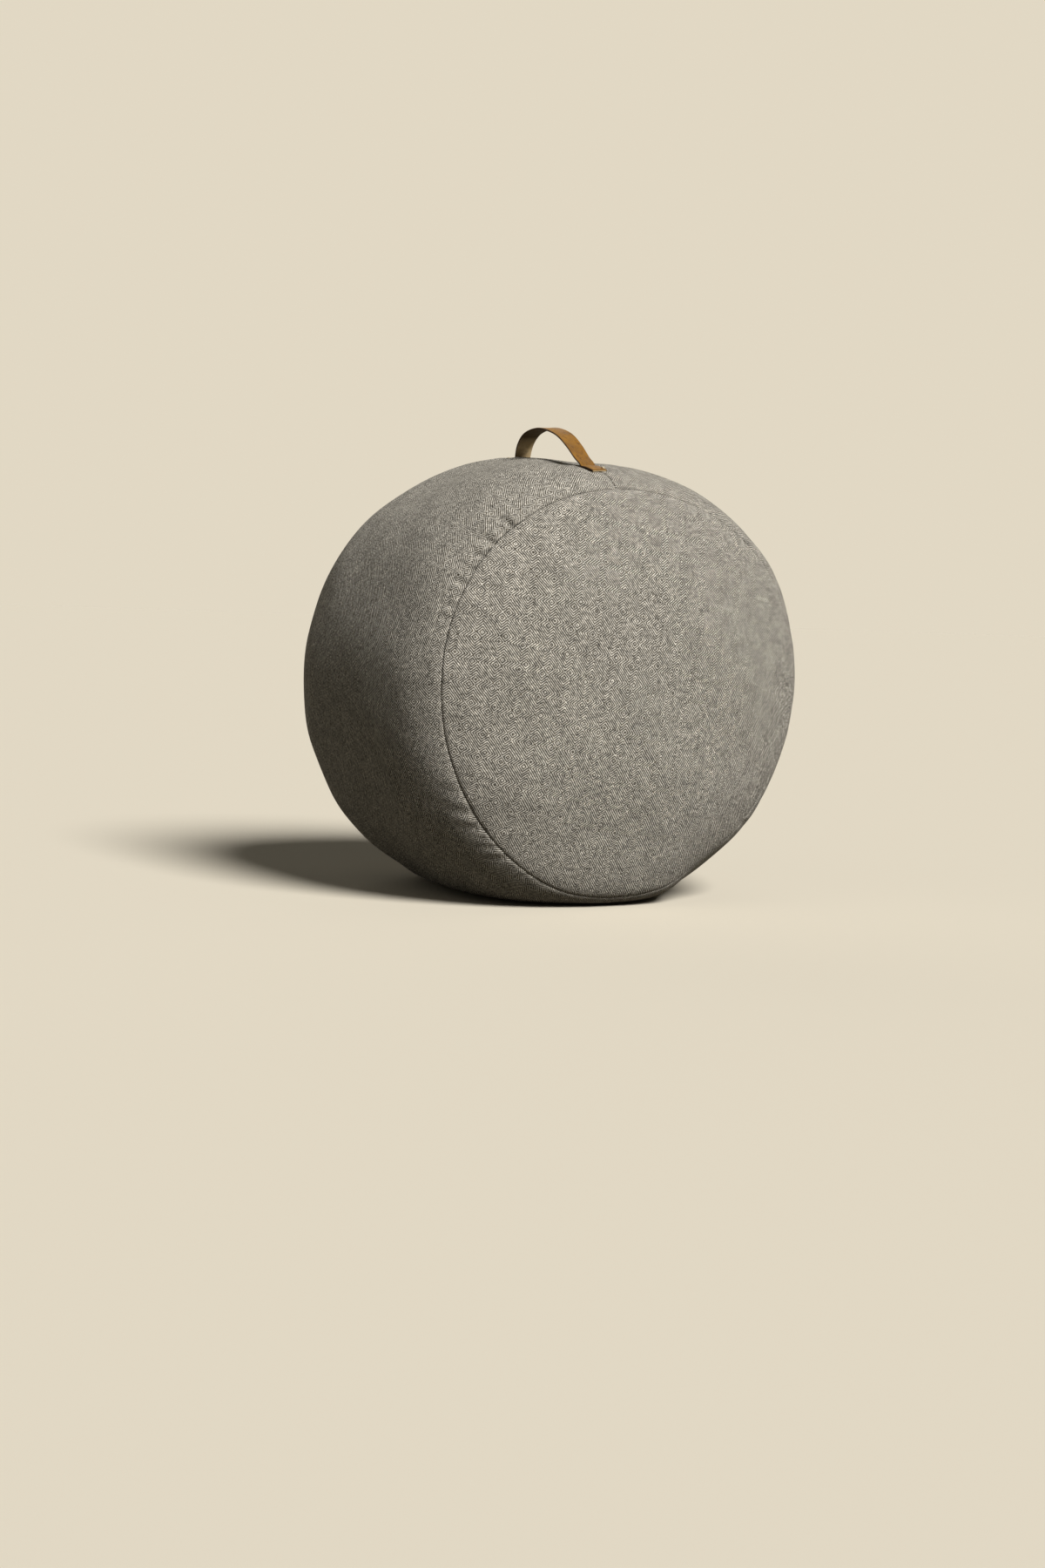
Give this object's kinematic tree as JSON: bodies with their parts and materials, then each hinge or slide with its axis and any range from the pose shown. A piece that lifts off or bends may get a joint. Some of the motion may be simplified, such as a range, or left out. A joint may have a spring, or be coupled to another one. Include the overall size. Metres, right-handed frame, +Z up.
{
  "type": "round pouf with a strap handle",
  "caption": "Round filled wool pouf standing on its rim, with two domed panels, a side band and a leather carrying strap on top.",
  "frame": {"origin": "middle of the flat spot on the rim that the pouf stands on", "axes": "+Z up to the strap handle, Y along the axis of the drum with the front panel facing -Y, +X to the right seen from the front panel"},
  "size_m": [0.5175, 0.4324, 0.5183],
  "materials": {
    "wool_cloth": "matt diamond twill in light greige and charcoal wool",
    "strap_leather": "natural vegetable-tanned leather, lightly waxed"
  },
  "bodies": {
    "root": {"side_band": "wool_cloth", "front_panel": "wool_cloth", "back_panel": "wool_cloth", "strap_handle": "strap_leather"}
  },
  "joints": []
}
